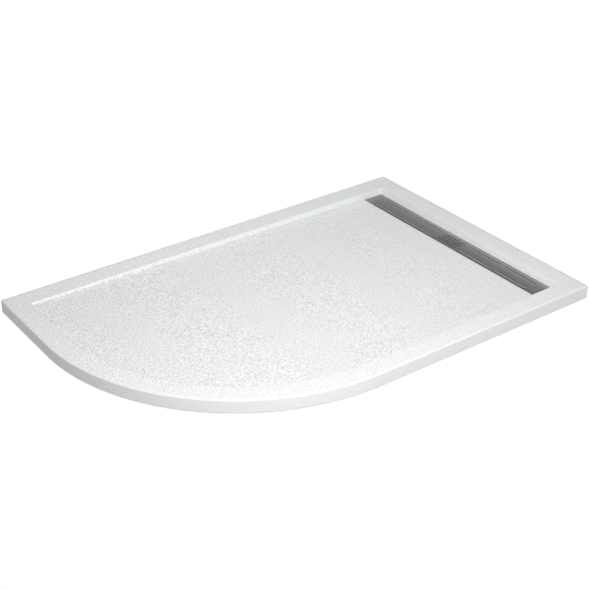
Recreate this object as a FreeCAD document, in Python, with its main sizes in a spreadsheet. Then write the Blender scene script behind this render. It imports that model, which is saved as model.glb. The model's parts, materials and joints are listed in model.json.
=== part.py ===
import FreeCAD, Part
import math
import operator
import os
import types

import Sketcher

# Shower tray with a linear drain, its lift-out cover and the trap below it.
# Millimetres and degrees. The origin is the middle of the tray's rectangle on the underside,
# +X points along the tray to the drain, +Y to the long wall side, +Z up.

DIMENSIONS = {
    # cast tray
    "tray_length": 1200,
    "tray_width": 800,
    "tray_height": 35,
    "corner_radius": 550,
    "rim_width": 52,
    "back_rim_width": 56,
    "depth_high": 6,
    "depth_drain": 17.5,
    "wall_draft": 12,
    "side_round": 4,
    "top_round": 3,
    "rim_round": 1.5,
    "base_round": 1,
    # drain recess
    "recess_width": 63,
    "recess_depth": 10,
    "recess_ledge": 1,
    "drain_front_gap": 15,
    # drain cover
    "cover_gap": 0.5,
    "cover_set": 0.5,
    "cover_thickness": 1.5,
    "border_width": 8.5,
    "panel_drop": 1.2,
    "slot_width": 2,
    "slot_length": 110,
    "slot_start": 111,
    "slot_pitch": 131.5,
    "slot_rows": 31,
    "grid_hole": 5.6,
    "grid_pitch": 10.2,
    # cover supports: near brackets are placed from the cover's middle, far ones from its ends
    "seat_gap": 0.2,
    "bracket_span": 40,
    "bracket_width": 14,
    "bracket_sheet": 1.2,
    "bracket_foot": 12,
    "bracket_near": 176,
    "bracket_far": 19,
    "pad_length": 10,
    "pad_width": 12,
    "pad_height": 2,
    # waste flange and its seals
    "flange_gap": 1.5,
    "flange_height": 1.5,
    "flange_seal_height": 1.5,
    "flange_step": 3,
    "flange_step_gap": 0.5,
    "tail_bore": 21,
    "tail_wall": 2.9,
    "tail_gap": 1,
    "hole_gap": 1.1,
    "thread_gap": 0.3,
    "tray_seal_height": 2.5,
    "tray_seal_width": 11,
    "trap_seat": 1,
    "trap_seat_gap": 4,
    # hair catcher
    "catcher_rim": 26,
    "catcher_gap": 1.5,
    "catcher_sheet": 1,
    "catcher_depth": 10,
    "catcher_post": 2.5,
    "catcher_slot": 2,
    "catcher_web": 3,
    # trap
    "trap_depth": 75,
    "trap_radius": 48,
    "trap_wall": 2.5,
    "trap_roof": 3.5,
    "neck_thread": 12.5,
    "neck_wall": 3,
    "neck_below": 9,
    "base_floor": 3,
    "base_flange": 2,
    "base_spigot": 8,
    "base_ring_height": 1,
    "cup_radius": 35.5,
    "cup_height": 56,
    "water_seal": 50,
    # dip tube
    "tube_radius": 17.5,
    "tube_wall": 2,
    "tube_gap": 1,
    "collar_gap": 0.4,
    "collar_height": 10,
    "ring_section": 1.3,
    "ring_proud": 0.2,
    "ring_play": 0.05,
    "grip_height": 4,
    "grip_width": 3,
    # outlet
    "outlet_level": 44,
    "outlet_reach": 95,
    "pipe_radius": 20,
    "pipe_gap": 0.2,
    "pipe_depth": 28,
    "pipe_stop": 2,
    "socket_wall": 4.8,
    "seal_taper": 5,
    "seal_swell": 2.6,
    "seal_lip": 3,
    "thrust_height": 1.5,
    "nut_grip": 11,
    "nut_wall": 3.5,
    "nut_lip": 3,
    "nut_rib": 2,
}

CATCHER_SLOTS = 12
GRID_ROWS = 4
GRID_COLUMNS = 7
NUT_RIBS = 8
NEAR = 0.01


class Size:
    """A number together with the sheet formula that gives it."""

    def __init__(self, value, formula):
        self.value = value
        self.formula = formula

    def __add__(self, other):
        return combine(self, "+", other)

    def __radd__(self, other):
        return combine(other, "+", self)

    def __sub__(self, other):
        return combine(self, "-", other)

    def __rsub__(self, other):
        return combine(other, "-", self)

    def __mul__(self, other):
        return combine(self, "*", other)

    def __rmul__(self, other):
        return combine(other, "*", self)

    def __truediv__(self, other):
        return combine(self, "/", other)

    def __neg__(self):
        return combine(0, "-", self)


OPERATIONS = {"+": operator.add, "-": operator.sub, "*": operator.mul, "/": operator.truediv}


def as_size(number):
    return number if isinstance(number, Size) else Size(number, str(number))


def combine(first, sign, second):
    first, second = as_size(first), as_size(second)
    value = OPERATIONS[sign](first.value, second.value)
    return Size(value, f"({first.formula} {sign} {second.formula})")


def tangent(angle):
    return Size(math.tan(math.radians(angle.value)), f"tan({angle.formula})")


def cosine(angle):
    return Size(math.cos(math.radians(angle.value)), f"cos({angle.formula})")


def slope(rise, run):
    angle = math.degrees(math.atan2(rise.value, run.value))
    return Size(angle, f"atan({rise.formula} / {run.formula})")


def bind(target, **sizes):
    """Binds properties to sheet formulas; a double underscore stands for a dot."""
    for path, size in sizes.items():
        target.setExpression(path.replace("__", "."), as_size(size).formula)


def make_sheet(doc):
    """The driving dimensions as a sheet, and the same values for building formulas."""
    sheet = doc.addObject("Spreadsheet::Sheet", "Sizes")
    for row, (name, value) in enumerate(DIMENSIONS.items(), start=1):
        sheet.set(f"A{row}", name)
        sheet.set(f"B{row}", str(value))
        sheet.setAlias(f"B{row}", name)
    doc.recompute()
    return types.SimpleNamespace(**{name: Size(float(sheet.get(name)), f"Sizes.{name}") for name in DIMENSIONS})


def derive(s):
    """Places and levels that several pieces share."""
    foot = s.depth_drain * tangent(s.wall_draft)
    s.half_length = s.tray_length / 2
    s.half_width = s.tray_width / 2
    s.foot_right = s.half_length - s.rim_width - foot
    s.foot_left = -s.foot_right
    s.foot_front = s.rim_width + foot - s.half_width
    s.foot_back = s.half_width - s.back_rim_width - foot
    s.foot_radius = s.corner_radius - s.rim_width - foot
    s.recess_right = s.foot_right - s.recess_ledge
    s.recess_left = s.recess_right - s.recess_width
    s.recess_back = s.foot_back - s.recess_ledge
    s.recess_front = s.foot_front + s.drain_front_gap
    s.waste_x = s.recess_right - s.recess_width / 2
    s.waste_y = (s.recess_back + s.recess_front) / 2
    s.drain_level = s.tray_height - s.depth_drain
    s.recess_floor = s.drain_level - s.recess_depth
    s.floor_fall = slope(s.depth_drain - s.depth_high, s.recess_left - s.foot_left)

    s.cover_half_x = s.recess_width / 2 - s.cover_gap
    s.cover_half_y = (s.recess_back - s.recess_front) / 2 - s.cover_gap
    s.panel_under = s.drain_level - s.cover_set - s.panel_drop - s.cover_thickness
    s.pad_base = s.recess_floor + s.seat_gap
    s.bracket_base = s.pad_base + s.pad_height

    s.flange_radius = s.recess_width / 2 - s.flange_gap
    s.step_floor = s.recess_floor - s.flange_step
    s.flange_under = s.step_floor + s.flange_seal_height
    s.flange_top = s.flange_under + s.flange_height
    s.tail_radius = s.tail_bore + s.tail_wall
    s.thread_radius = s.tail_radius + s.thread_gap
    s.hole_radius = s.tail_radius + s.hole_gap

    s.trap_top = s.trap_seat - s.tray_seal_height
    s.roof_under = s.trap_top - s.trap_roof
    s.ledge_level = s.trap_top - s.neck_thread
    s.tail_end = s.ledge_level + s.tail_gap
    s.neck_end = s.ledge_level - s.neck_below
    s.trap_inside = s.trap_radius - s.trap_wall
    s.trap_bottom = -s.trap_depth
    s.base_top = s.trap_bottom + s.base_floor
    s.base_seat = s.trap_bottom + s.base_flange
    s.housing_end = s.base_seat + s.base_ring_height
    s.cup_lip = s.base_top + s.cup_height
    s.dip_end = s.cup_lip - s.water_seal

    s.collar_radius = s.tail_bore - s.collar_gap
    s.collar_base = s.ledge_level + s.seat_gap
    s.ring_radius = s.collar_radius + s.ring_proud - s.ring_section
    s.ring_level = s.collar_base + s.collar_height / 2

    s.pipe_bore = s.pipe_radius + s.pipe_gap
    s.socket_radius = s.pipe_bore + s.socket_wall
    s.seal_start = s.outlet_reach - s.seal_taper
    s.seal_end = s.outlet_reach + s.seal_lip
    s.thrust_end = s.seal_end + s.thrust_height
    s.nut_start = s.outlet_reach - s.nut_grip
    s.nut_end = s.thrust_end + s.nut_lip
    s.nut_bore = s.socket_radius + s.thread_gap
    s.nut_radius = s.nut_bore + s.nut_wall


def new_body(doc, label, x=0, y=0, z=0):
    body = doc.addObject("PartDesign::Body", label)
    body.Label = label
    bind(body, Placement__Base__x=x, Placement__Base__y=y, Placement__Base__z=z)
    return body


def outlet_body(doc, s, label):
    """A body whose own +Z runs out along the trap's outlet."""
    body = new_body(doc, label, s.waste_x, s.waste_y, -s.outlet_level)
    body.Placement.Rotation = FreeCAD.Rotation(FreeCAD.Vector(0, 1, 0), -90)
    return body


def origin_plane(body, role):
    return next(plane for plane in body.Origin.OriginFeatures if plane.Role == role)


def new_sketch(body, role="XY_Plane", height=0):
    sketch = body.newObject("Sketcher::SketchObject", "Sketch")
    sketch.AttachmentSupport = [(origin_plane(body, role), "")]
    sketch.MapMode = "FlatFace"
    bind(sketch, AttachmentOffset__Base__z=height)
    return sketch


def fix_point(sketch, geometry, end, x, y):
    """Holds a point of the sketch at its distances from the sketch's origin."""
    for kind, axis, size in (("DistanceX", -2, as_size(x)), ("DistanceY", -1, as_size(y))):
        if size.formula == "0":
            sketch.addConstraint(Sketcher.Constraint("PointOnObject", geometry, end, axis))
        else:
            index = sketch.addConstraint(Sketcher.Constraint(kind, -1, 1, geometry, end, size.value))
            sketch.setExpression(f"Constraints[{index}]", size.formula)


def fix_radius(sketch, geometry, radius):
    index = sketch.addConstraint(Sketcher.Constraint("Radius", geometry, radius.value))
    sketch.setExpression(f"Constraints[{index}]", radius.formula)


def at(x, y):
    return FreeCAD.Vector(as_size(x).value, as_size(y).value, 0)


def add_loop(sketch, points):
    """A closed outline of straight lines through the points."""
    first = sketch.GeometryCount
    count = len(points)
    for index, point in enumerate(points):
        sketch.addGeometry(Part.LineSegment(at(*point), at(*points[(index + 1) % count])))
    for index, point in enumerate(points):
        following = first + (index + 1) % count
        sketch.addConstraint(Sketcher.Constraint("Coincident", first + index, 2, following, 1))
        fix_point(sketch, first + index, 1, *point)


def add_rectangle(sketch, left, front, right, back):
    add_loop(sketch, [(left, front), (right, front), (right, back), (left, back)])


def add_circle(sketch, radius, x=0, y=0):
    circle = sketch.addGeometry(Part.Circle(at(x, y), FreeCAD.Vector(0, 0, 1), radius.value))
    fix_point(sketch, circle, 3, x, y)
    fix_radius(sketch, circle, radius)


def add_quadrant(sketch, left, front, right, back, radius):
    """A rectangle whose front left corner is one large arc."""
    turn_x, turn_y = left + radius, front + radius
    runs = [
        ((left, back), (right, back)),
        ((right, back), (right, front)),
        ((right, front), (turn_x, front)),
        ((left, turn_y), (left, back)),
    ]
    back_run, end_run, front_run, side_run = [
        sketch.addGeometry(Part.LineSegment(at(*start), at(*end))) for start, end in runs
    ]
    circle = Part.Circle(at(turn_x, turn_y), FreeCAD.Vector(0, 0, 1), radius.value)
    arc = sketch.addGeometry(Part.ArcOfCircle(circle, math.pi, 1.5 * math.pi))
    joins = [(back_run, 2, end_run, 1), (end_run, 2, front_run, 1), (front_run, 2, arc, 2),
             (arc, 1, side_run, 1), (side_run, 2, back_run, 1)]
    for join in joins:
        sketch.addConstraint(Sketcher.Constraint("Coincident", *join))
    for geometry, (start, _) in zip((back_run, end_run, front_run, side_run), runs):
        fix_point(sketch, geometry, 1, *start)
    fix_point(sketch, front_run, 2, turn_x, front)
    fix_radius(sketch, arc, radius)


def add_slot(sketch, x, y, length, width):
    """A slot along the sketch's Y with round ends."""
    radius = width / 2
    centre_back, centre_front = y + length / 2 - radius, y - length / 2 + radius
    left, right = x - radius, x + radius
    runs = [((right, centre_front), (right, centre_back)), ((left, centre_back), (left, centre_front))]
    right_run, left_run = [
        sketch.addGeometry(Part.LineSegment(at(*start), at(*end))) for start, end in runs
    ]
    ends = []
    for centre, first, last in ((centre_back, 0, math.pi), (centre_front, math.pi, 2 * math.pi)):
        circle = Part.Circle(at(x, centre), FreeCAD.Vector(0, 0, 1), radius.value)
        ends.append(sketch.addGeometry(Part.ArcOfCircle(circle, first, last)))
    back_end, front_end = ends
    joins = [(right_run, 2, back_end, 1), (back_end, 2, left_run, 1),
             (left_run, 2, front_end, 1), (front_end, 2, right_run, 1)]
    for join in joins:
        sketch.addConstraint(Sketcher.Constraint("Coincident", *join))
    for geometry, (start, end) in zip((right_run, left_run), runs):
        fix_point(sketch, geometry, 1, *start)
        fix_point(sketch, geometry, 2, *end)
    for geometry, centre in ((back_end, centre_back), (front_end, centre_front)):
        index = sketch.addConstraint(Sketcher.Constraint("DistanceY", -1, 1, geometry, 3, centre.value))
        sketch.setExpression(f"Constraints[{index}]", centre.formula)


def extrude(body, kind, sketch, length, upward=True, symmetric=False, taper=None):
    """A Pad or Pocket of the sketch; a Pocket goes down unless it is reversed."""
    feature = body.newObject(f"PartDesign::{kind}", kind)
    feature.Profile = sketch
    feature.Reversed = upward == (kind == "Pocket")
    feature.SideType = "Symmetric" if symmetric else "One side"
    bind(feature, Length=length)
    if taper is not None:
        bind(feature, TaperAngle=taper)
    return feature


def turn(body, points, kind="Revolution"):
    """A full turn of an outline in the XZ plane about the body's own Z."""
    sketch = new_sketch(body, "XZ_Plane")
    add_loop(sketch, points)
    feature = body.newObject(f"PartDesign::{kind}", kind)
    feature.Profile = sketch
    feature.ReferenceAxis = (sketch, ["V_Axis"])
    feature.Angle = 360
    return feature


def ring(body, inner, outer, low, high):
    return turn(body, [(inner, low), (outer, low), (outer, high), (inner, high)])


def loft(body, kind, low_sketch, high_sketch):
    feature = body.newObject(f"PartDesign::{kind}", kind)
    feature.Profile = low_sketch
    feature.Sections = [high_sketch]
    feature.Ruled = True
    return feature


def repeat_round(body, feature, count):
    """Copies of a feature spread evenly about the body's own Z."""
    pattern = body.newObject("PartDesign::PolarPattern", "PolarPattern")
    pattern.Originals = [feature]
    pattern.Axis = (feature.Profile[0], ["V_Axis"])
    pattern.Angle = 360
    pattern.Occurrences = count
    body.Tip = pattern
    return pattern


def round_edges(body, radius, chosen):
    """Rounds the edges of the body for which chosen(edge) holds."""
    body.Document.recompute()
    base = body.Tip
    names = [f"Edge{number}" for number, edge in enumerate(base.Shape.Edges, start=1) if chosen(edge)]
    fillet = body.newObject("PartDesign::Fillet", "Fillet")
    fillet.Base = (base, names)
    bind(fillet, Radius=radius)
    return fillet


def make_tray(doc, s):
    body = new_body(doc, "tray_body")
    outline = new_sketch(body)
    add_quadrant(outline, -s.half_length, -s.half_width, s.half_length, s.half_width, s.corner_radius)
    extrude(body, "Pad", outline, s.tray_height)

    # The floor lies in a plane that falls to the drain, and the pocket is cut upwards from it.
    floor = new_sketch(body, height=s.drain_level)
    floor.AttachmentOffset.Rotation = FreeCAD.Rotation(FreeCAD.Vector(0, 1, 0), s.floor_fall.value)
    bind(floor, AttachmentOffset__Base__x=s.recess_left, AttachmentOffset__Rotation__Angle=s.floor_fall)
    along = cosine(s.floor_fall)
    left, right = (s.foot_left - s.recess_left) / along, (s.foot_right - s.recess_left) / along
    add_quadrant(floor, left, s.foot_front, right, s.foot_back, s.foot_radius)
    extrude(body, "Pocket", floor, s.tray_height, taper=s.wall_draft)
    round_edges(body, s.rim_round, lambda edge: flat_at(edge, s.tray_height) and not outside(edge, s))

    recess = new_sketch(body, height=s.recess_floor)
    add_rectangle(recess, s.recess_left, s.recess_front, s.recess_right, s.recess_back)
    extrude(body, "Pocket", recess, s.tray_height)
    # The waste flange lies in a step of the recess floor, so that water runs over it.
    step = new_sketch(body, height=s.step_floor)
    add_circle(step, s.flange_radius + s.flange_step_gap, s.waste_x, s.waste_y)
    extrude(body, "Pocket", step, s.tray_height)
    hole = new_sketch(body)
    add_circle(hole, s.hole_radius, s.waste_x, s.waste_y)
    extrude(body, "Pocket", hole, s.tray_height)
    # The trap's head and its seal sit in a shallow seat in the underside.
    seat = new_sketch(body)
    add_circle(seat, s.trap_radius + s.trap_seat_gap, s.waste_x, s.waste_y)
    extrude(body, "Pocket", seat, s.trap_seat)

    round_edges(body, s.side_round, lambda edge: square_corner(edge, s))
    round_edges(body, s.top_round, lambda edge: flat_at(edge, s.tray_height) and outside(edge, s))
    round_edges(body, s.base_round, lambda edge: flat_at(edge, as_size(0)) and outside(edge, s))
    return body


def flat_at(edge, level):
    box = edge.BoundBox
    return box.ZLength < NEAR and abs(box.ZMax - level.value) < NEAR


def square_corner(edge, s):
    """True for an upright edge at one of the three square corners."""
    box = edge.BoundBox
    at_end = abs(abs(box.Center.x) - s.half_length.value) < NEAR
    at_side = abs(abs(box.Center.y) - s.half_width.value) < NEAR
    return at_end and at_side and box.ZLength > NEAR


def outside(edge, s):
    """True for an edge in the outer half of the rim's width."""
    middle = edge.valueAt((edge.FirstParameter + edge.LastParameter) / 2)
    half_length, half_width, radius = s.half_length.value, s.half_width.value, s.corner_radius.value
    inset = min(half_length - abs(middle.x), half_width - abs(middle.y))
    in_x, in_y = middle.x + half_length - radius, middle.y + half_width - radius
    if in_x < 0 and in_y < 0:
        inset = radius - math.hypot(in_x, in_y)
    return inset < s.rim_width.value / 2


def make_cover(doc, s):
    body = new_body(doc, "cover_plate", s.waste_x, s.waste_y, s.panel_under)

    def outline(height, grow):
        sketch = new_sketch(body, height=height)
        half_x, half_y = s.cover_half_x + grow, s.cover_half_y + grow
        add_rectangle(sketch, -half_x, -half_y, half_x, half_y)
        return sketch

    # A sheet of even thickness whose border slopes up from the sunk middle panel.
    edge = outline(s.panel_drop, 0)
    loft(body, "AdditiveLoft", outline(0, -s.border_width), edge)
    extrude(body, "Pad", edge, s.cover_thickness)
    past = s.cover_thickness
    lift = s.panel_drop * (s.border_width + past) / s.border_width
    panel = outline(s.cover_thickness, -s.border_width)
    loft(body, "SubtractiveLoft", panel, outline(s.cover_thickness + lift, past))

    # Each row has as many slots towards either end as the panel has room for.
    slots = new_sketch(body)
    room = s.cover_half_y - s.border_width - s.slot_length / 2 - s.slot_start
    for side in (-1, 1):
        for end in (-1, 1):
            for step in range(1 + int(room.value // s.slot_pitch.value)):
                y = end * (s.slot_start + step * s.slot_pitch)
                add_slot(slots, side * s.slot_rows / 2, y, s.slot_length, s.slot_width)
    extrude(body, "Pocket", slots, s.cover_thickness * 2)

    grid = new_sketch(body)
    for row in range(GRID_ROWS):
        for column in range(GRID_COLUMNS):
            x = (row - (GRID_ROWS - 1) / 2) * s.grid_pitch
            y = (column - (GRID_COLUMNS - 1) / 2) * s.grid_pitch
            add_circle(grid, s.grid_hole / 2, x, y)
    extrude(body, "Pocket", grid, s.cover_thickness * 2)
    return body


def bracket_places(s):
    places = (s.bracket_near, s.cover_half_y - s.bracket_far)
    return [s.waste_y + side * place for side in (-1, 1) for place in places]


def make_brackets(doc, s):
    """Bent strips across the cover, each open below between its two inward feet."""
    brackets = []
    half, sheet, foot = s.bracket_span / 2, s.bracket_sheet, s.bracket_foot
    height = s.panel_under - s.bracket_base
    for number, y in enumerate(bracket_places(s), start=1):
        body = new_body(doc, f"cover_bracket_{number}", s.waste_x, y, s.bracket_base)
        profile = new_sketch(body, "XZ_Plane")
        add_loop(profile, [
            (-half, 0), (foot - half, 0), (foot - half, sheet), (sheet - half, sheet),
            (sheet - half, height - sheet), (half - sheet, height - sheet), (half - sheet, sheet),
            (half - foot, sheet), (half - foot, 0), (half, 0), (half, height), (-half, height),
        ])
        extrude(body, "Pad", profile, s.bracket_width, symmetric=True)
        brackets.append(body)
    return group(doc, "cover_brackets", brackets)


def make_pads(doc, s):
    pads = []
    reach = (s.bracket_span - s.bracket_foot) / 2
    for y in bracket_places(s):
        for side in (-1, 1):
            pad = doc.addObject("Part::Box", "cover_pad")
            bind(pad, Length=s.pad_length, Width=s.pad_width, Height=s.pad_height,
                 Placement__Base__x=s.waste_x + side * reach - s.pad_length / 2,
                 Placement__Base__y=y - s.pad_width / 2, Placement__Base__z=s.pad_base)
            pads.append(pad)
    return group(doc, "cover_pads", pads)


def group(doc, label, members):
    compound = doc.addObject("Part::Compound", label)
    compound.Label = label
    compound.Links = members
    return compound


def waste_body(doc, s, label):
    return new_body(doc, label, s.waste_x, s.waste_y)


def make_waste_flange(doc, s):
    body = waste_body(doc, s, "waste_flange")
    turn(body, [
        (s.tail_bore, s.tail_end), (s.tail_radius, s.tail_end), (s.tail_radius, s.flange_under),
        (s.flange_radius, s.flange_under), (s.flange_radius, s.flange_top), (s.tail_bore, s.flange_top),
    ])
    return body


def make_seals(doc, s):
    flange_seal = waste_body(doc, s, "flange_seal")
    ring(flange_seal, s.thread_radius, s.flange_radius, s.step_floor, s.flange_under)
    tray_seal = waste_body(doc, s, "tray_seal")
    ring(tray_seal, s.hole_radius, s.hole_radius + s.tray_seal_width, s.trap_top, s.trap_seat)
    return [flange_seal, tray_seal]


def make_hair_catcher(doc, s):
    body = waste_body(doc, s, "hair_catcher")
    sheet = s.catcher_sheet
    outer = s.tail_bore - s.catcher_gap
    inner = outer - sheet
    rim_under = s.flange_top + s.seat_gap
    rim_top = rim_under + sheet
    floor = rim_top - s.catcher_depth
    turn(body, [
        (0, floor), (outer, floor), (outer, rim_under), (s.catcher_rim, rim_under),
        (s.catcher_rim, rim_top), (inner, rim_top), (inner, floor + sheet), (s.catcher_post, floor + sheet),
        (s.catcher_post, rim_under), (0, rim_under),
    ])
    side = new_sketch(body, "XZ_Plane")
    web = s.catcher_web
    add_rectangle(side, inner - sheet, floor + web, outer + sheet, rim_under - web)
    repeat_round(body, extrude(body, "Pocket", side, s.catcher_slot, symmetric=True), CATCHER_SLOTS)
    base = new_sketch(body, "XZ_Plane")
    add_rectangle(base, s.catcher_post + web, floor - sheet, inner - web, floor + sheet * 2)
    repeat_round(body, extrude(body, "Pocket", base, s.catcher_slot, symmetric=True), CATCHER_SLOTS // 2)
    return body


def make_dip_tube(doc, s):
    body = waste_body(doc, s, "dip_tube")
    bore = s.tube_radius - s.tube_wall
    top = s.collar_base + s.collar_height
    groove = s.ring_radius - s.ring_section - s.ring_play
    half_groove = s.ring_section + s.ring_play
    turn(body, [
        (bore, s.dip_end), (s.tube_radius, s.dip_end), (s.tube_radius, s.collar_base),
        (s.collar_radius, s.collar_base), (s.collar_radius, s.ring_level - half_groove),
        (groove, s.ring_level - half_groove), (groove, s.ring_level + half_groove),
        (s.collar_radius, s.ring_level + half_groove), (s.collar_radius, top), (bore, top),
    ])
    grip = new_sketch(body, "XZ_Plane")
    reach = bore + s.tube_wall / 2
    add_rectangle(grip, -reach, top - s.grip_height, reach, top)
    extrude(body, "Pad", grip, s.grip_width, symmetric=True)
    return body


def make_dip_ring(doc, s):
    torus = doc.addObject("Part::Torus", "dip_tube_ring")
    torus.Label = "dip_tube_ring"
    bind(torus, Radius1=s.ring_radius, Radius2=s.ring_section, Placement__Base__x=s.waste_x,
         Placement__Base__y=s.waste_y, Placement__Base__z=s.ring_level)
    return torus


def make_trap_body(doc, s):
    body = waste_body(doc, s, "trap_body")
    turn(body, [(0, s.housing_end), (s.trap_radius, s.housing_end), (s.trap_radius, s.trap_top), (0, s.trap_top)])
    add_outlet(body, "Pad", s, s.socket_radius, 0, s.outlet_reach)
    neck = s.thread_radius + s.neck_wall
    ledge = s.tube_radius + s.tube_gap
    turn(body, [
        (0, s.trap_top + s.trap_wall), (s.thread_radius, s.trap_top + s.trap_wall),
        (s.thread_radius, s.ledge_level), (ledge, s.ledge_level), (ledge, s.neck_end), (neck, s.neck_end),
        (neck, s.roof_under), (s.trap_inside, s.roof_under), (s.trap_inside, s.housing_end - s.trap_wall),
        (0, s.housing_end - s.trap_wall),
    ], "Groove")
    add_outlet(body, "Pocket", s, s.pipe_bore - s.pipe_stop, s.cup_radius, s.outlet_reach)
    add_outlet(body, "Pocket", s, s.pipe_bore, s.outlet_reach - s.pipe_depth, s.outlet_reach)
    mouth = new_sketch(body, "XZ_Plane")
    level = -s.outlet_level
    add_loop(mouth, [
        (-s.outlet_reach, level), (-s.outlet_reach, level + s.pipe_bore + s.seal_swell),
        (-s.seal_start, level + s.pipe_bore), (-s.seal_start, level),
    ])
    flare = body.newObject("PartDesign::Groove", "Groove")
    flare.Profile = mouth
    flare.ReferenceAxis = (mouth, ["Edge4"])
    flare.Angle = 360
    return body


def add_outlet(body, kind, s, radius, start, end):
    """A round Pad or Pocket along the outlet, between two distances from the waste's axis."""
    sketch = new_sketch(body, "YZ_Plane", -1 * as_size(end))
    add_circle(sketch, radius, 0, -s.outlet_level)
    extrude(body, kind, sketch, end - as_size(start))


def make_trap_base(doc, s):
    body = waste_body(doc, s, "trap_base")
    spigot = s.trap_inside - s.thread_gap
    cup_inside = s.cup_radius - s.trap_wall
    turn(body, [
        (0, s.trap_bottom), (s.trap_radius, s.trap_bottom), (s.trap_radius, s.base_seat),
        (spigot, s.base_seat), (spigot, s.base_top + s.base_spigot),
        (spigot - s.trap_wall, s.base_top + s.base_spigot), (spigot - s.trap_wall, s.base_top),
        (s.cup_radius, s.base_top), (s.cup_radius, s.cup_lip), (cup_inside, s.cup_lip),
        (cup_inside, s.base_top), (0, s.base_top),
    ])
    base_ring = waste_body(doc, s, "trap_base_ring")
    ring(base_ring, s.trap_inside, s.trap_radius, s.base_seat, s.housing_end)
    return [body, base_ring]


def make_outlet_fittings(doc, s):
    """The tapered seal, thrust ring and nut, each turned about the outlet's axis."""
    seal = outlet_body(doc, s, "outlet_seal")
    turn(seal, [
        (s.pipe_bore, s.seal_start), (s.pipe_bore + s.seal_swell, s.outlet_reach),
        (s.pipe_bore + s.seal_swell, s.seal_end), (s.pipe_bore, s.seal_end),
    ])
    thrust = outlet_body(doc, s, "outlet_thrust_ring")
    ring(thrust, s.pipe_bore, s.socket_radius, s.seal_end, s.thrust_end)
    nut = outlet_body(doc, s, "outlet_nut")
    turn(nut, [
        (s.nut_bore, s.nut_start), (s.nut_radius, s.nut_start), (s.nut_radius, s.nut_end),
        (s.pipe_bore, s.nut_end), (s.pipe_bore, s.thrust_end), (s.nut_bore, s.thrust_end),
    ])
    rib = new_sketch(nut, "XZ_Plane")
    add_rectangle(rib, s.nut_radius - s.nut_rib, s.nut_start, s.nut_radius + s.nut_rib, s.nut_end)
    repeat_round(nut, extrude(nut, "Pad", rib, s.nut_rib * 2, symmetric=True), NUT_RIBS)
    return [seal, thrust, nut]


def failed(thing):
    return [state for state in thing.State if state in ("Invalid", "Error")]


def main():
    doc = FreeCAD.newDocument("shower_tray")
    s = make_sheet(doc)
    derive(s)
    parts = [make_tray(doc, s), make_cover(doc, s), make_brackets(doc, s), make_pads(doc, s)]
    parts += [make_waste_flange(doc, s), *make_seals(doc, s), make_hair_catcher(doc, s)]
    parts += [make_dip_tube(doc, s), make_dip_ring(doc, s), make_trap_body(doc, s)]
    parts += [*make_trap_base(doc, s), *make_outlet_fittings(doc, s)]
    doc.recompute()

    for thing in doc.Objects:
        if failed(thing):
            raise RuntimeError(f"{thing.Name} ({thing.Label}) is {failed(thing)}")
    for part in parts:
        if part.Shape.isNull() or not part.Shape.isValid():
            raise RuntimeError(f"{part.Label} has no valid shape")

    os.makedirs("parts", exist_ok=True)
    for part in parts:
        part.Shape.exportStep(f"parts/{part.Label}.step")
        print(f"{part.Label}: {len(part.Shape.Solids)} solid(s), {part.Shape.Volume / 1000:.1f} cm3")


main()
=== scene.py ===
# %% [markdown]
# # A shower tray with a linear drain
#
# A low shower tray is cast in one piece from white resin. One corner is a large arc, the floor has a slate
# relief and falls to a channel along the short side, and a steel cover hides the waste there. The packed
# model gives every piece its size and place. This lesson makes the surfaces: the relief of the casting, the
# soft edges of pressed steel and moulded plastic, and their finishes.

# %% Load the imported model
import json
import math

import bmesh
import bpy
from mathutils import Matrix, Vector, noise


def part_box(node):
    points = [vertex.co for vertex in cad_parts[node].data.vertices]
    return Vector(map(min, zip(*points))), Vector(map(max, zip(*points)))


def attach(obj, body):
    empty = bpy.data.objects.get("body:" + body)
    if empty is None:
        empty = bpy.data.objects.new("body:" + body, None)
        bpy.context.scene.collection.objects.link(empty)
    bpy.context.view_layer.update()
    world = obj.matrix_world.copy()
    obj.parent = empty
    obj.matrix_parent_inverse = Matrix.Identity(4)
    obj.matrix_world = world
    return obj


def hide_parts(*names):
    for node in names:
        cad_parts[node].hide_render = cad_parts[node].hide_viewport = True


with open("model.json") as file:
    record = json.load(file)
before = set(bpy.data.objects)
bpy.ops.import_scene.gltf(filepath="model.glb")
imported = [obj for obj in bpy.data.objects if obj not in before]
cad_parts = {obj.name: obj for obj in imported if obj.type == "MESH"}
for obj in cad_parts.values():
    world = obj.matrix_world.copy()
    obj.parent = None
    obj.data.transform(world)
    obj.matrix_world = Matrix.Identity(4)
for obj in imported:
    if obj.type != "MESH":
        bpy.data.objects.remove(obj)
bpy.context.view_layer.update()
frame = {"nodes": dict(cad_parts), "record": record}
nodes = frame["nodes"]

# %% [markdown]
# ## The camera
#
# The picture is taken from in front and to the left, about thirty degrees above the floor. Four corners and
# the arc of the tray fix the camera, so the render and the picture can be laid over each other. The focal
# length is measured in pixels, and Blender wants it in millimetres of a 36 mm sensor.

# %% Camera
PICTURE_SIDE = 589
FOCAL_PIXELS = 1259.8
SENSOR_MM = 36.0
CAMERA_TARGET = Vector((0.0275, 0.0457, 0))
CAMERA_DISTANCE = 3.1503
AZIMUTH, ELEVATION, ROLL = (math.radians(angle) for angle in (-35.291, 30.170, -0.603))

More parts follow.
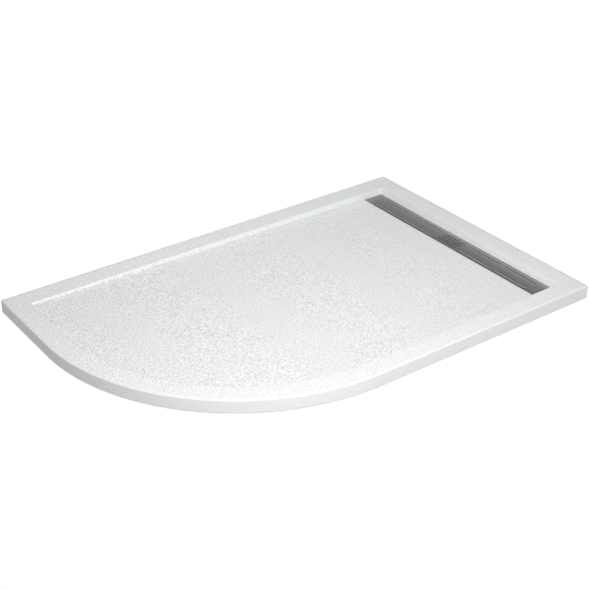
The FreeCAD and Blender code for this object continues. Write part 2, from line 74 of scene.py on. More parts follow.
camera = bpy.data.objects.new("camera", bpy.data.cameras.new("camera"))
camera.data.sensor_width = SENSOR_MM
camera.data.lens = SENSOR_MM * FOCAL_PIXELS / PICTURE_SIDE
backwards = Vector((
    math.sin(AZIMUTH) * math.cos(ELEVATION),
    -math.cos(AZIMUTH) * math.cos(ELEVATION),
    math.sin(ELEVATION),
))
aim = (-backwards).to_track_quat("-Z", "Y").to_matrix().to_4x4()
place = Matrix.Translation(CAMERA_TARGET + backwards * CAMERA_DISTANCE)
camera.matrix_world = place @ aim @ Matrix.Rotation(ROLL, 4, "Z")
bpy.context.scene.collection.objects.link(camera)
bpy.context.scene.camera = camera
bpy.context.scene.view_settings.view_transform = "Standard"
print("lens:", round(camera.data.lens, 2), "mm")

# %% [markdown]
# ## A short way to write shader nodes
#
# A finish is a tree of nodes. `Wire` is one output in it, and a sum of wires adds the Math nodes that work
# it out. `Finish.node` makes any other node: its settings first, then the values or wires of its sockets.


# %% Wires and finishes
class Wire:
    """One output of a node; arithmetic with it adds Math nodes."""

    def __init__(self, finish, socket):
        self.finish = finish
        self.socket = socket

    def math(self, operation, first, second):
        return self.finish.node("ShaderNodeMath", {"operation": operation}, {0: first, 1: second})

    def __add__(self, other):
        return self.math("ADD", self, other)

    def __radd__(self, other):
        return self.math("ADD", other, self)

    def __sub__(self, other):
        return self.math("SUBTRACT", self, other)

    def __rsub__(self, other):
        return self.math("SUBTRACT", other, self)

    def __mul__(self, other):
        return self.math("MULTIPLY", self, other)

    def __rmul__(self, other):
        return self.math("MULTIPLY", other, self)


class Finish:
    """A node tree that is being built."""

    def __init__(self, owner):
        owner.use_nodes = True
        self.owner = owner
        self.tree = owner.node_tree
        self.shader = self.tree.nodes.get("Principled BSDF")

    def node(self, kind, settings=None, inputs=None, output=0):
        made = self.tree.nodes.new(kind)
        for name, value in (settings or {}).items():
            setattr(made, name, value)
        self.feed(made, inputs or {})
        return Wire(self, made.outputs[output])

    def feed(self, target, inputs):
        for name, value in inputs.items():
            if isinstance(value, Wire):
                self.tree.links.new(value.socket, target.inputs[name])
            else:
                target.inputs[name].default_value = value

    def position(self):
        return self.node("ShaderNodeTexCoord", output="Object")

    def noise(self, scale, detail=2.0, roughness=0.5, where=None):
        inputs = {"Scale": scale, "Detail": detail, "Roughness": roughness}
        inputs["Vector"] = where or self.position()
        return self.node("ShaderNodeTexNoise", inputs=inputs)

    def vector_math(self, operation, first, second):
        return self.node("ShaderNodeVectorMath", {"operation": operation}, {0: first, 1: second})

    def mark(self, name):
        """The value that an attribute of the mesh has at a place."""
        return self.node("ShaderNodeAttribute", {"attribute_name": name}, output="Fac")

    def stretched(self, scale, centre=(0, 0, 0)):
        """Object coordinates about a centre, with a scale of their own along each axis."""
        return self.vector_math("MULTIPLY", self.vector_math("SUBTRACT", self.position(), centre), scale)

    def spread(self, value, low, high, start=0.0, end=1.0):
        """Takes the part of value from low to high and spreads it from start to end."""
        inputs = {"Value": value, "From Min": low, "From Max": high, "To Min": start, "To Max": end}
        return self.node("ShaderNodeMapRange", inputs=inputs)

    def tint(self, factor, first, second):
        """A colour between two, by a factor."""
        return self.node("ShaderNodeMix", {"data_type": "RGBA"}, {0: factor, 6: first, 7: second}, output=2)

    def bump(self, height, distance):
        return self.node("ShaderNodeBump", inputs={"Height": height, "Distance": distance, "Strength": 1.0})


def new_finish(name):
    return Finish(bpy.data.materials.new(name))


# %% [markdown]
# ## The stage
#
# The tray lies on a pale floor, as it lies on its mortar bed. The trap hangs below the tray, so the floor
# has a square hole for it, which the tray covers. To the camera, and in reflections, the floor is nearly
# white and still takes the tray's shadow. To scattered light it is darker, because the picture shows sides
# of the tray that get little light from below.

# %% Floor
FLOOR_HALF = 9.0
FLOOR_GAP = 0.0004
HOLE_HALF = 0.1
HOLE_SHIFT = 0.03

flange_low, flange_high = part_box("waste_flange")
waste = (flange_low + flange_high) / 2
floor_mesh = bmesh.new()
bmesh.ops.create_grid(floor_mesh, x_segments=1, y_segments=1, size=FLOOR_HALF)
hole = floor_mesh.faces[:]
bmesh.ops.inset_region(floor_mesh, faces=hole, thickness=FLOOR_HALF - HOLE_HALF, use_even_offset=True)
bmesh.ops.translate(floor_mesh, verts=hole[0].verts, vec=(waste.x - HOLE_SHIFT, waste.y, 0))
bmesh.ops.delete(floor_mesh, geom=hole, context="FACES_ONLY")
bmesh.ops.translate(floor_mesh, verts=floor_mesh.verts, vec=(0, 0, -FLOOR_GAP))


def new_piece(name, mesh):
    """A mesh object at the origin, made from a bmesh, which is then freed."""
    data = bpy.data.meshes.new(name)
    mesh.to_mesh(data)
    mesh.free()
    made = bpy.data.objects.new(name, data)
    bpy.context.scene.collection.objects.link(made)
    return made


stage_floor = new_piece("stage_floor", floor_mesh)

FLOOR_SHADED = (0.45, 0.45, 0.45, 1)
FLOOR_GLOW = 0.62
FLOOR_SCATTER = (0.16, 0.16, 0.16, 1)


def seen(finish):
    """1 for rays that show the background: to the camera, in gloss and through glass."""
    total = finish.node("ShaderNodeLightPath", output="Is Camera Ray")
    for name in ("Is Glossy Ray", "Is Transmission Ray"):
        total = total.math("MAXIMUM", total, finish.node("ShaderNodeLightPath", output=name))
    return total


stage_finish = new_finish("stage_floor")
shaded = stage_finish.node("ShaderNodeBsdfDiffuse", inputs={"Color": FLOOR_SHADED})
glow = stage_finish.node("ShaderNodeEmission", inputs={"Strength": FLOOR_GLOW})
pale = stage_finish.node("ShaderNodeAddShader", inputs={0: shaded, 1: glow})
scatter = stage_finish.node("ShaderNodeBsdfDiffuse", inputs={"Color": FLOOR_SCATTER})
mixed = stage_finish.node("ShaderNodeMixShader", inputs={0: seen(stage_finish), 1: scatter, 2: pale})
stage_finish.feed(stage_finish.tree.nodes["Material Output"], {"Surface": mixed})
stage_floor.data.materials.append(stage_finish.owner)
print("floor hole over", [round(value, 3) for value in waste.xy])

# %% [markdown]
# ## The light
#
# A studio has a few large soft lamps. The key lamp stands in front and to the left, so it rakes over the
# relief, whose grains get a light side and a dark one. A low lamp in front lights the walls that face it,
# one behind the tray lights the far rim, and two weak ones and the sky fill the rest. Their strengths were
# worked out from renders with one lamp each, so that the sum has the picture's levels. The sky is white
# near the horizon, where the picture's background is, and grey higher up, and the steel cover mirrors that
# grey.

# %% World and lamps
SKY_LIGHT = 0.30
HORIZON_SEEN, TOP_SEEN = 1.0, 0.33
BAND_END, TOP_START = (math.sin(math.radians(angle)) for angle in (6, 12))
WHITE = (1, 1, 1, 1)

sky = Finish(bpy.data.worlds.new("sky"))
bpy.context.scene.world = sky.owner
direction = sky.node("ShaderNodeTexCoord", output="Generated")
height = sky.node("ShaderNodeSeparateXYZ", inputs={0: direction}, output="Z")
level = sky.spread(height, BAND_END, TOP_START, HORIZON_SEEN, TOP_SEEN)
dim = sky.node("ShaderNodeBackground", inputs={"Color": WHITE, "Strength": SKY_LIGHT})
bright = sky.node("ShaderNodeBackground", inputs={"Color": WHITE, "Strength": level})
both = sky.node("ShaderNodeMixShader", inputs={0: seen(sky), 1: dim, 2: bright})
sky.feed(sky.tree.nodes["World Output"], {"Surface": both})


def soft_lamp(name, place, aim, width, height, watts):
    """A rectangular area lamp that faces a point and isn't in the picture."""
    data = bpy.data.lights.new(name, "AREA")
    data.shape = "RECTANGLE"
    data.size = width
    data.size_y = height
    data.energy = watts
    lamp = bpy.data.objects.new(name, data)
    lamp.location = place
    lamp.rotation_euler = (Vector(aim) - Vector(place)).to_track_quat("-Z", "Y").to_euler()
    lamp.visible_camera = False
    bpy.context.scene.collection.objects.link(lamp)
    return lamp


LAMPS = {
    "key_lamp": ((-0.73, -1.3, 1.2), (0.3, -0.1, 0), 0.5, 0.5, 21.0),
    "top_lamp": ((0.15, -0.35, 1.2), (0.15, -0.35, 0), 0.8, 0.8, 2.9),
    "front_lamp": ((0.2, -2.5, 0.35), (0.2, 0, 0), 1.6, 0.4, 11.6),
    "back_lamp": ((0.3, 1.2, 1.6), (0.2, 0.3, 0), 0.8, 0.6, 8.8),
    "left_lamp": ((-1.5, -0.5, 0.6), (-0.2, -0.1, 0), 0.6, 0.5, 1.3),
}
for name, (place, aim, width, height, watts) in LAMPS.items():
    soft_lamp(name, place, aim, width, height, watts)
print("lamps:", sorted(LAMPS))

# %% [markdown]
# ## The casting
#
# The tray is modelled the way its mould is cut. A rectangle gets its round corner from a vertex bevel, is
# pulled up into a slab, and an inset leaves the rim. The floor inside is pushed down to a plane that falls
# to the drain, and the walls lean by the draft that lets a casting leave its mould. Only then are the edges
# rounded, while the mesh is still so coarse that each bevel is a clean strip.

# %% Outline and slab
CORNER_RADIUS = 0.550
ARC_STEPS = 72
RIM = 0.052
BACK_RIM = 0.056
DEPTH_HIGH = 0.006
DEPTH_DRAIN = 0.0175
WALL_LEAN = math.tan(math.radians(12))
COVER_GAP = 0.0005
RECESS_DEPTH = 0.010

tray_low, tray_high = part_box("tray_body")
cover_low, cover_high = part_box("cover_plate")
arc_centre = Vector((tray_low.x + CORNER_RADIUS, tray_low.y + CORNER_RADIUS))
recess_low = cover_low - Vector((COVER_GAP, COVER_GAP, 0))
recess_high = cover_high + Vector((COVER_GAP, COVER_GAP, 0))
wall_run = DEPTH_DRAIN * WALL_LEAN
drain_level = tray_high.z - DEPTH_DRAIN
foot_reach = tray_high.x - RIM - wall_run
floor_fall = (DEPTH_DRAIN - DEPTH_HIGH) / (recess_low.x + foot_reach)


def floor_level(x):
    return drain_level + (recess_low.x - x) * floor_fall


def inset(point, low, high):
    """How far a point lies inside a rectangle."""
    return min(point.x - low.x, high.x - point.x, point.y - low.y, high.y - point.y)


def inside_by(point):
    """How far a point lies inside the tray's outline."""
    out = arc_centre - point.xy
    if out.x > 0 and out.y > 0:
        return CORNER_RADIUS - out.length
    return inset(point, tray_low, tray_high)


def faces_of(result):
    return [item for item in result["geom"] if isinstance(item, bmesh.types.BMFace)]


def pushed(mesh, faces):
    """Extrudes faces of a closed mesh and returns the faces to move; the old ones would be left inside."""
    moved = faces_of(bmesh.ops.extrude_face_region(mesh, geom=faces))
    bmesh.ops.delete(mesh, geom=faces, context="FACES_ONLY")
    return moved


tray = bmesh.new()
plan = [
    (tray_low.x, tray_low.y),
    (tray_high.x, tray_low.y),
    (tray_high.x, tray_high.y),
    (tray_low.x, tray_high.y),
]
corners = [tray.verts.new((x, y, tray_low.z)) for x, y in plan]
tray.faces.new(corners)
bmesh.ops.bevel(tray, geom=corners[:1], affect="VERTICES", offset=CORNER_RADIUS, offset_type="OFFSET",
                segments=ARC_STEPS, profile=0.5, material=-1)
slab_top = faces_of(bmesh.ops.extrude_face_region(tray, geom=tray.faces[:]))
bmesh.ops.translate(tray, verts=slab_top[0].verts, vec=(0, 0, tray_high.z - tray_low.z))
arc_error = max(abs(inside_by(vert.co)) for vert in tray.verts)
print("outline of", len(slab_top[0].verts), "points, off by", round(arc_error * 1000, 4), "mm at most")

# %% Rim, walls and floor
bmesh.ops.inset_region(tray, faces=slab_top, thickness=RIM + wall_run, use_even_offset=True)
for vert in slab_top[0].verts:
    if vert.co.y > tray_high.y - RIM - wall_run - COVER_GAP:
        vert.co.y -= BACK_RIM - RIM
basin = pushed(tray, slab_top)
for vert in basin[0].verts:
    vert.co.z = floor_level(vert.co.x)
tray.normal_update()
middle = basin[0].calc_center_median()
walls = {face for vert in basin[0].verts for face in vert.link_faces} - set(basin)
print("walls:", len(walls))


def lean_out(vert):
    """Moves a point of the rim's inner edge outwards by the draft of the walls below it."""
    first, second = [face.normal for face in vert.link_faces if face in walls]
    away = (first + second) / (1 + first.dot(second))
    if away.dot(vert.co - middle) < 0:
        away.negate()
    depth = tray_high.z - floor_level(vert.co.x)
    vert.co += away * depth * WALL_LEAN


rim_edge = {vert for face in walls for vert in face.verts} - set(basin[0].verts)
for vert in list(rim_edge):
    lean_out(vert)

# %% [markdown]
# The channel of the drain is a rectangle of the floor that is pushed down. Four cuts mark it out. The waste
# hole and the seat of the trap below are circles, each bridged to a square that was cut out of its face.

# %% Cuts and round holes
ON_BLADE = 1e-7
HOLE_STEPS = 64


def score(mesh, faces, axis, places):
    """Cuts faces along planes that are square to an axis, and returns the faces."""
    normal = Vector((0, 0, 0))
    normal[axis] = 1
    for value in places:
        edges = {edge for face in faces for edge in face.edges}
        verts = {vert for face in faces for vert in face.verts}
        cut = bmesh.ops.bisect_plane(mesh, geom=[*faces, *edges, *verts], dist=ON_BLADE,
                                     plane_co=normal * value, plane_no=normal)
        faces = faces_of(cut)
    return faces


def within(face, low, high):
    spot = face.calc_center_median()
    return low.x < spot.x < high.x and low.y < spot.y < high.y


def ring_hole(mesh, face, radius, level):
    """Opens a face with a round hole about the waste and returns the hole's edges."""
    border = list(face.edges)
    bmesh.ops.delete(mesh, geom=[face], context="FACES_ONLY")
    circle = bmesh.ops.create_circle(mesh, radius=radius, segments=HOLE_STEPS,
                                     matrix=Matrix.Translation((waste.x, waste.y, level)))
    rim = list({edge for vert in circle["verts"] for edge in vert.link_edges})
    bmesh.ops.bridge_loops(mesh, edges=border + rim)
    return rim


def drawn_on(mesh, rim, rings):
    """Draws a round edge on through rings of (radius, level), and returns the last ring's edges."""
    for radius, level in rings:
        drawn = bmesh.ops.extrude_edge_only(mesh, edges=rim)["geom"]
        ring = {item for item in drawn if isinstance(item, bmesh.types.BMVert)}
        rim = [item for item in drawn if isinstance(item, bmesh.types.BMEdge) and set(item.verts) <= ring]
        for vert in ring:
            out = (vert.co - waste).xy.normalized() * radius
            vert.co = (waste.x + out.x, waste.y + out.y, level)
    return rim


# %% Channel, waste hole and seat
HOLE_RADIUS = 0.025
STEP_GAP = 0.0005
STEP_DEPTH = 0.003
SEAT_RADIUS = 0.052
SEAT_DEPTH = 0.001
ROUND_ABOUT = 1.08

step_radius = (flange_high.x - flange_low.x) / 2 + STEP_GAP
recess_floor = drain_level - RECESS_DEPTH
step_floor = recess_floor - STEP_DEPTH
floor_faces = score(tray, basin, 0, (recess_low.x, recess_high.x))
floor_faces = score(tray, floor_faces, 1, (recess_low.y, recess_high.y))
channel = pushed(tray, [face for face in floor_faces if within(face, recess_low, recess_high)])
for vert in channel[0].verts:
    vert.co.z = recess_floor
reach = Vector((1, 1, 0)) * step_radius * ROUND_ABOUT
channel = score(tray, channel, 1, (waste.y - reach.y, waste.y + reach.y))
square = next(face for face in channel if within(face, waste - reach, waste + reach))
rings = [(step_radius, step_floor), (HOLE_RADIUS, step_floor), (HOLE_RADIUS, SEAT_DEPTH)]
hole_end = drawn_on(tray, ring_hole(tray, square, step_radius, recess_floor), rings)

tray.normal_update()
underside = [face for face in tray.faces if face.calc_center_median().z < SEAT_DEPTH / 2]
reach = Vector((1, 1, 0)) * SEAT_RADIUS * ROUND_ABOUT
underside = score(tray, underside, 0, (waste.x - reach.x, waste.x + reach.x))
underside = score(tray, underside, 1, (waste.y - reach.y, waste.y + reach.y))
square = next(face for face in underside if within(face, waste - reach, waste + reach))
seat_end = drawn_on(tray, ring_hole(tray, square, SEAT_RADIUS, tray_low.z), [(SEAT_RADIUS, SEAT_DEPTH)])
bmesh.ops.bridge_loops(tray, edges=seat_end + hole_end)
bmesh.ops.recalc_face_normals(tray, faces=tray.faces[:])
print("open edges:", sum(not edge.is_manifold for edge in tray.edges))

# %% [markdown]
# The edges are rounded one run at a time: the square corners first, so that the runs along the top and the
# bottom then go round them. An edge counts as sharp by the angle between its faces, and its place says
# which run it is. The base is rounded as much as the corners, so a thin dark line shows where the tray
# meets the floor.

# %% Rounded edges
SHARP = math.radians(20)
NEAR = 1e-5
CORNER_ROUND = 0.004
TOP_ROUND = 0.003
BASE_ROUND = 0.004
RIM_ROUND = 0.0006
CHANNEL_ROUND = 0.0004


def sharp_edges(mesh, test):
    """The sharp edges whose middle passes a test."""
    mesh.normal_update()
    sharp = [edge for edge in mesh.edges if edge.calc_face_angle(0) > SHARP]
    return [edge for edge in sharp if test((edge.verts[0].co + edge.verts[1].co) / 2)]


def round_off(mesh, edges, width, steps):
    bmesh.ops.bevel(mesh, geom=edges, affect="EDGES", offset=width, offset_type="OFFSET", segments=steps,
                    profile=0.5, clamp_overlap=True, material=-1)
    return len(edges)


def at_level(level):
    return lambda spot: abs(spot.z - level) < NEAR


def is_outer(spot):
    return inside_by(spot) < RIM / 2


def is_inner(spot):
    return not is_outer(spot)


def is_at_waste(spot):
    return (spot - waste).xy.length < step_radius + NEAR


RUNS = {
    "corner": (tray_high.z / 2, is_outer, CORNER_ROUND, 5),
    "top": (tray_high.z, is_outer, TOP_ROUND, 4),
    "base": (tray_low.z, is_outer, BASE_ROUND, 4),
    "rim": (tray_high.z, is_inner, RIM_ROUND, 3),
    "waste": (recess_floor, is_at_waste, CHANNEL_ROUND, 2),
}
for name, (level, test, width, steps) in RUNS.items():
    edges = sharp_edges(tray, lambda spot: at_level(level)(spot) and test(spot))
    print(name, "edges rounded:", round_off(tray, edges, width, steps))

# %% [markdown]
# ## The slate relief
#
# Such a floor is cast against a mould taken from split slate: shallow flakes with a grain of a few
# millimetres on them, in patches that are rougher and smoother, and calmer on the rim. The relief could be
# left to a bump map, but then it would vanish from the mesh, so the rim and the floor are cut into small
# cells and their points are lifted. A blade sweeps across the faces and cuts only what lies ahead of it,
# which stays quick with tens of thousands of cells.

# %% Cells for the relief
CELL = 0.0033
FLAT = 0.99


def strips(mesh, faces, axis, width):
    """Cuts faces into strips square to an axis, by a blade that leaves what lies behind it alone."""
    spots = [vert.co[axis] for face in faces for vert in face.verts]
    low, high = min(spots), max(spots)
    count = round((high - low) / width)
    ahead, behind = list(faces), []
    for number in range(1, count):
        blade = low + (high - low) * number / count
        met = {face for face in ahead if min(vert.co[axis] for vert in face.verts) < blade - NEAR}
        ahead = [face for face in ahead if face not in met]
        for face in score(mesh, met, axis, [blade]):
            side = behind if face.calc_center_median()[axis] < blade else ahead
            side.append(face)
    return behind + ahead


def is_relief_ground(face):
    """True for the top of the rim and for the sloping floor."""
    spot = face.calc_center_median()
    low_floor = recess_floor + RECESS_DEPTH / 2
    return face.normal.z > FLAT and spot.z > low_floor


tray.normal_update()
ground = [face for face in tray.faces if is_relief_ground(face)]
cells = strips(tray, strips(tray, ground, 0, CELL), 1, CELL)
print("cells:", len(cells), "of", len(tray.faces), "faces")

# %% Relief
FADE = 0.003
RIM_SHARE = 0.6
FLAKE = 1 / 0.019
GRAIN = 1 / 0.0068
PATCH = 1 / 0.11
GRAIN_RUN = 0.85
FLAKE_HEIGHT = 0.00030
GRAIN_HEIGHT = 0.00050
GRAIN_SHIFT = Vector((7, 3, 1))
PATCH_MEAN, PATCH_SWING = 0.75, 0.55
ROUGHNESS, LACUNARITY, OCTAVES = 1.0, 2.0, 2


def fractal(spot):
    return noise.fractal(spot, ROUGHNESS, LACUNARITY, OCTAVES)


def smooth_step(value):
    value = max(0.0, min(1.0, value))
    return value * value * (3 - 2 * value)


def recess_distance(point):
    """How far a point of the floor lies from the channel."""
    aside = max(recess_low.x - point.x, point.x - recess_high.x, 0)
    along = max(recess_low.y - point.y, point.y - recess_high.y, 0)
    return math.hypot(aside, along)


def relief_share(point):
    """0 at the outer edge and at the channel, the full relief a little way from them, less on the rim."""
    most = RIM_SHARE if at_level(tray_high.z)(point) else 1.0
    return most * smooth_step(min(inside_by(point) - TOP_ROUND, recess_distance(point)) / FADE)


def slate_height(point):
    """Flakes with sharp lower edges, and a finer grain on them, stronger in some patches."""
    flat = Vector((point.x * GRAIN_RUN, point.y, 0))
    patch = PATCH_MEAN + PATCH_SWING * noise.noise(flat * PATCH)
    flakes = 1 - 2 * abs(fractal(flat * FLAKE))
    grain = fractal(flat * GRAIN + GRAIN_SHIFT)
    return patch * (FLAKE_HEIGHT * (flakes - 0.5) + GRAIN_HEIGHT * grain)


share_layer = tray.verts.layers.float.new("relief")
lifts = {}
for vert in {vert for face in cells for vert in face.verts}:
    share = relief_share(vert.co)
    vert[share_layer] = share
    lifts[vert] = share * slate_height(vert.co)
for vert, lift in lifts.items():
    vert.co.z += lift
print("relief from", round(min(lifts.values()) * 1000, 2), "to", round(max(lifts.values()) * 1000, 2), "mm")

# %% [markdown]
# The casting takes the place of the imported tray: it rides on the same body and has the same material slot.
# Every later piece goes the same way. Faces that meet at less than thirty degrees are shaded as one
# surface, with normals weighted by area, so that large flat faces look flat right up to their rounded
# edges.

# %% The finished casting
SMOOTH_BELOW = math.radians(30)
bodies = frame["record"]["behaviour"]["bodies"]
node_body = {node: body for body, members in bodies.items() for node in members}
node_slot = {part["node"]: part["material_slot"] for part in frame["record"]["subparts"]}


def stand_for(piece, node):
    """Smooth shading with crisp edges, and the place in the model of the node that the piece replaces."""
    piece.data.shade_smooth()
    piece.data.set_sharp_from_angle(angle=SMOOTH_BELOW)
    even = piece.modifiers.new("even_normals", "WEIGHTED_NORMAL")
    even.keep_sharp = True
    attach(piece, node_body[node])
    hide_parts(node)


casting = new_piece("cast_tray", tray)
stand_for(casting, "tray_body")
print("triangles:", sum(len(face.vertices) - 2 for face in casting.data.polygons))

# %% [markdown]
# ## Pressed and moulded pieces
#
# The cover has eight narrow slots, and the press that makes them draws their edges down into a lip. The
# walls of each slot hang together as one group of upright faces, which is cut a little below the top. The
# upper ring of points then moves outwards, so the upper part of the walls becomes the lip and the opening
# keeps its width.

# %% Pressed slots
BORDER_WIDTH = 0.0080
LIP_WIDTH = 0.0025
LIP_DEPTH = 0.0006
SLOT_LEAST = 0.05
UPRIGHT = 0.1


def islands(faces):
    """Sorts faces into groups that hang together."""
    left = set(faces)
    while left:
        group, waiting = [], [left.pop()]
        while waiting:
            face = waiting.pop()
            group.append(face)
            near = {other for edge in face.edges for other in edge.link_faces} & left
            left -= near
            waiting += near
        yield group


def cover_inset(point):
    """How far a point lies inside the cover's outline."""
    return inset(point, cover_low, cover_high)


def press_slot(mesh, walls):
    """Presses the edge of a slot down into a sloping lip round it."""
    spots = [vert.co for face in walls for vert in face.verts]
    low, high = Vector(map(min, *spots)), Vector(map(max, *spots))
    half = (high.x - low.x) / 2
    if high.y - low.y < SLOT_LEAST:
        return 0
    for vert in {vert for face in score(mesh, walls, 2, [high.z - LIP_DEPTH]) for vert in face.verts}:
        if vert.co.z > high.z - NEAR:
            along = min(max(vert.co.y, low.y + half), high.y - half)
            vert.co += (vert.co - Vector((low.x + half, along, vert.co.z))).normalized() * LIP_WIDTH
    return 1


def press_slots(mesh):
    mesh.normal_update()
    upright = [face for face in mesh.faces if abs(face.normal.z) < UPRIGHT]
    inner = [face for face in upright if cover_inset(face.calc_center_median()) > BORDER_WIDTH]
    print("slots pressed:", sum(press_slot(mesh, walls) for walls in list(islands(inner))))


# %% [markdown]
# The other pieces have the right shape already, but their edges are as sharp as a drawing. Pressed steel
# and moulded plastic have small radii, and it is the thin bright line along such an edge that makes them
# look real. A copy of each node's mesh is merged, its flat faces are joined, and its sharp edges are
# bevelled. Seals and rings are hidden between other pieces, so they stay as they are.

# %% Softened copies
FLAT_WITHIN = math.radians(0.5)
MERGE = 1e-6
PRESSED = {"cover_plate": press_slots}


def softened(name, node, width, steps):
    """A copy of a node with rounded edges, which stands for it."""
    mesh = bmesh.new()
    mesh.from_mesh(nodes[node].data)
    bmesh.ops.remove_doubles(mesh, verts=mesh.verts[:], dist=MERGE)
    bmesh.ops.dissolve_limit(mesh, angle_limit=FLAT_WITHIN, verts=mesh.verts[:], edges=mesh.edges[:])
    if node in PRESSED:
        PRESSED[node](mesh)
    count = round_off(mesh, sharp_edges(mesh, lambda spot: True), width, steps)
    piece = new_piece(name, mesh)
    stand_for(piece, node)
    print(name, "edges rounded:", count, "faces:", len(piece.data.polygons))
    return piece


SOFT_EDGES = {
    "cover_plate": ("drain_cover", 0.00035, 3),
    "cover_brackets": ("cover_feet", 0.00025, 2),
    "cover_pads": ("foot_pads", 0.0004, 2),
    "waste_flange": ("turned_flange", 0.0004, 3),
    "hair_catcher": ("catcher_basket", 0.0002, 2),
    "dip_tube": ("dip_pipe", 0.0005, 3),
    "trap_body": ("trap_housing", 0.0008, 3),
    "trap_base": ("trap_cup", 0.0005, 3),
    "outlet_nut": ("pipe_nut", 0.0006, 3),
}
shown = {"tray_body": casting}
for node, (name, width, steps) in SOFT_EDGES.items():
    shown[node] = softened(name, node, width, steps)
for node in nodes:
    shown.setdefault(node, nodes[node])

# %% [markdown]
# The cover is pressed from one sheet. Its flat panel lies inside a border that slopes up to the edge, and
# the border is smoother than the panel. The edges of the slots are pressed down into lips. The near lips
# are painted light, a painted highlight that shows as a thin light line beside the dark slot. The walls of
# the slots and holes are painted nearly black as painted shade, and the far lips get part of that painted
# shade. One material can do all this if the mesh says which face is which, so every face is marked by its
# slope and by how far it lies from the cover's outline.

# %% The cover's border and lips
LIP_SLOPE = (0.90, 0.985)
CUT_INSET = 0.0105
# How much of the painted shade of the slots the far lips get.
FAR_LIP_PAINTED_SHADE = 0.4


def mark_faces(cover, name, rule):
    """Gives a mesh an attribute with a value from 0 to 1 for each face."""
    values = [float(rule(face)) for face in cover.data.polygons]
    mark = cover.data.attributes.new(name, "FLOAT", "FACE")
    mark.data.foreach_set("value", values)
    print(name, "faces:", sum(value > 0 for value in values))


def is_lip(face):
    return LIP_SLOPE[0] < face.normal.z < LIP_SLOPE[1]


def on_border(face):
    return cover_inset(face.center) < BORDER_WIDTH


# The near lips get a painted highlight.
def is_painted_highlight(face):
    return is_lip(face) and face.normal.x > 0


def painted_shade_rule(face):
    """Painted shade: 1 on the walls of slots and holes, less on the far lips."""
    if is_lip(face) and face.normal.x < 0:
        return FAR_LIP_PAINTED_SHADE
    return abs(face.normal.z) < UPRIGHT and cover_inset(face.center) > CUT_INSET


# The marks: the border, the painted highlight of the near lips, and the painted shade of the slots, holes
# and far lips.
FACE_MARKS = {"border": on_border, "bright": is_painted_highlight, "painted_shade": painted_shade_rule}
drain_cover = shown["cover_plate"]
for face in drain_cover.data.polygons:
    face.use_smooth = not is_lip(face)
for name, rule in FACE_MARKS.items():
    mark_faces(drain_cover, name, rule)

# %% [markdown]
# ## Finishes
#
# Cast resin is a satin white. Its fine grain, light and dark, a little longer along the tray and stronger in
# some patches, is painted into the colour: painted shade in the pits, with dark flecks of painted shade
# where the pits are deepest, and painted light on the high spots. The painted shade is stronger at the left
# end and fades towards the drain, as the light falls there. One noise drives the colour and the bump, so
# that a dark pit is also a low one. The walls and the outer edge were polished in the mould, so the relief
# attribute, which is 0 there, fades the grain out.

# %% Cast resin
# The plain resin lies between these two colours; the painted shade of the pits goes towards the darker one
# and the painted light of the high spots towards the lighter one.
RESIN_LIGHT = (0.932, 0.941, 0.940, 1)
RESIN_DARK = (0.62, 0.64, 0.65, 1)
PLAIN_SHADE = 0.38
PAINTED_PIT_SHADE_MIDDLE = 0.46
PIT_FINENESS, PATCH_FINENESS, PEEL_FINENESS = 290, 11, 900
PIT_DEPTH = 0.0020
# Where along the tray the painted shade of the grain is strongest and weakest, and how strong it is there.
HIGH_END, LOW_END = -0.5, 0.45
LEFT_PAINTED_SHADE, RIGHT_PAINTED_SHADE = 1.6, 0.5


def resin():
    finish = new_finish("tray_resin")
    share = finish.mark("relief")
    pits = finish.noise(PIT_FINENESS, 2, 0.55, finish.stretched((GRAIN_RUN, 1, 1)))
    along = finish.node("ShaderNodeSeparateXYZ", inputs={0: finish.position()}, output="X")
    depth = finish.spread(along, HIGH_END, LOW_END, LEFT_PAINTED_SHADE, RIGHT_PAINTED_SHADE)
    patch = finish.noise(PATCH_FINENESS, 2)
    mottle = finish.spread(patch, 0.36, 0.64, 0.45, 1.0)
    # The grain and flecks are painted shade in the pits and painted light on the high spots, stronger at the
    # left end.
    grain = 1.15 * (finish.spread(pits, 0.62, 0.34) - PAINTED_PIT_SHADE_MIDDLE)
    painted_pit_flecks = finish.spread(pits, 0.40, 0.34)
    dark = PLAIN_SHADE + share * mottle * depth * (grain + 0.6 * painted_pit_flecks)
    peel = finish.noise(PEEL_FINENESS, 1)
    finish.feed(finish.shader, {
        "Base Color": finish.tint(dark, RESIN_LIGHT, RESIN_DARK),
        "Roughness": 0.36 + 0.2 * share + 0.08 * patch,
        "Normal": finish.bump(share * pits + 0.03 * peel, PIT_DEPTH),
        "IOR": 1.5,
    })
    return finish.owner


# %% [markdown]
# The cover is brushed along its length: fine lines, long in one direction and close together in the other,
# which come from a noise that is stretched the same way. Its border and its near lips, whose light colour is
# a painted highlight, are less rough, so they mirror the white walls beside them. The flange, the strainer
# and the brackets are turned or pressed from lighter steel, and the flange's tool marks run round the waste.

# %% Steel
PANEL_DARK, PANEL_LIGHT = (0.33, 0.33, 0.33, 1), (0.42, 0.42, 0.42, 1)
# Painted highlight on the near lips.
LIP_PAINTED_HIGHLIGHT = (0.72, 0.72, 0.71, 1)
# Painted shade on the walls of slots and holes and on the far lips.
PAINTED_SHADE_STEEL = (0.03, 0.027, 0.025, 1)
BRUSHING = (2600, 26, 2600)
TURNED_DARK, TURNED_LIGHT = (0.52, 0.52, 0.51, 1), (0.64, 0.64, 0.62, 1)
TOOL_MARKS = 4200


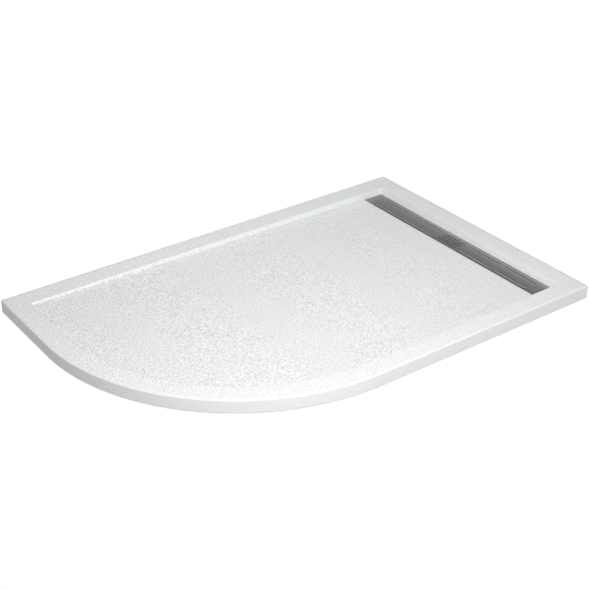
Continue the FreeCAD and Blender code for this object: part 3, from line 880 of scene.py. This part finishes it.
def brushed_steel():
    finish = new_finish("cover_steel")
    border, bright, painted_shade = (finish.mark(name) for name in FACE_MARKS)
    lines = finish.noise(1.0, 3, 0.6, finish.stretched(BRUSHING))
    cloud = finish.noise(11, 2)
    shade = 0.25 * lines + 0.35 * cloud - 0.3 * border
    panel = finish.tint(shade, PANEL_DARK, PANEL_LIGHT)
    # The near lips are painted light as a painted highlight.
    with_painted_highlight = finish.tint(bright, panel, LIP_PAINTED_HIGHLIGHT)
    finish.feed(finish.shader, {
        # The slot walls and the far lips are painted dark as painted shade.
        "Base Color": finish.tint(painted_shade, with_painted_highlight, PAINTED_SHADE_STEEL),
        "Metallic": 1.0,
        "Roughness": 0.38 - 0.24 * border - 0.28 * bright + 0.2 * painted_shade + 0.10 * lines,
        "Normal": finish.bump(lines, 0.00003),
    })
    return finish.owner


def turned_steel():
    finish = new_finish("waste_steel")
    centred = finish.stretched((1, 1, 0), waste)
    radius = finish.node("ShaderNodeVectorMath", {"operation": "LENGTH"}, {0: centred}, output="Value")
    rings = finish.node("ShaderNodeTexNoise", {"noise_dimensions": "1D"},
                        {"W": radius * TOOL_MARKS, "Scale": 1.0, "Detail": 2.0})
    cloud = finish.noise(60, 2)
    finish.feed(finish.shader, {
        "Base Color": finish.tint(cloud, TURNED_DARK, TURNED_LIGHT),
        "Metallic": 1.0,
        "Roughness": 0.2 + 0.16 * rings,
        "Normal": finish.bump(rings, 0.00002),
    })
    return finish.owner


# %% [markdown]
# The trap is moulded in white plastic and the dip tube in grey. Both have the faint grain of a spark-eroded
# mould and a slow change of shade where the melt cooled. The rubber of the seals is dusty black.


# %% Plastic and rubber
def moulded(name, light, dark, roughness, grain):
    finish = new_finish(name)
    flow = finish.noise(24, 3, 0.55)
    sparks = finish.noise(grain, 2, 0.6)
    finish.feed(finish.shader, {
        "Base Color": finish.tint(flow, dark, light),
        "Roughness": roughness + 0.16 * sparks,
        "Normal": finish.bump(sparks, 0.00006),
    })
    return finish.owner


# %% [markdown]
# The record says which slot each node has, so one table from slots to finishes dresses every piece, the
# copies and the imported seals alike.

# %% Every piece gets its finish
materials = {
    "tray_resin": resin(),
    "cover_steel": brushed_steel(),
    "waste_steel": turned_steel(),
    "trap_plastic": moulded("trap_plastic", (0.80, 0.80, 0.78, 1), (0.74, 0.74, 0.72, 1), 0.30, 1400),
    "tube_plastic": moulded("tube_plastic", (0.36, 0.38, 0.39, 1), (0.30, 0.32, 0.33, 1), 0.42, 1700),
    "seal_rubber": moulded("seal_rubber", (0.045, 0.045, 0.045, 1), (0.02, 0.02, 0.02, 1), 0.60, 2400),
}
for node, piece in shown.items():
    if not piece.material_slots:
        piece.data.materials.append(None)
    for slot in piece.material_slots:
        slot.material = materials[node_slot[node]]
print("finishes:", sorted(materials))
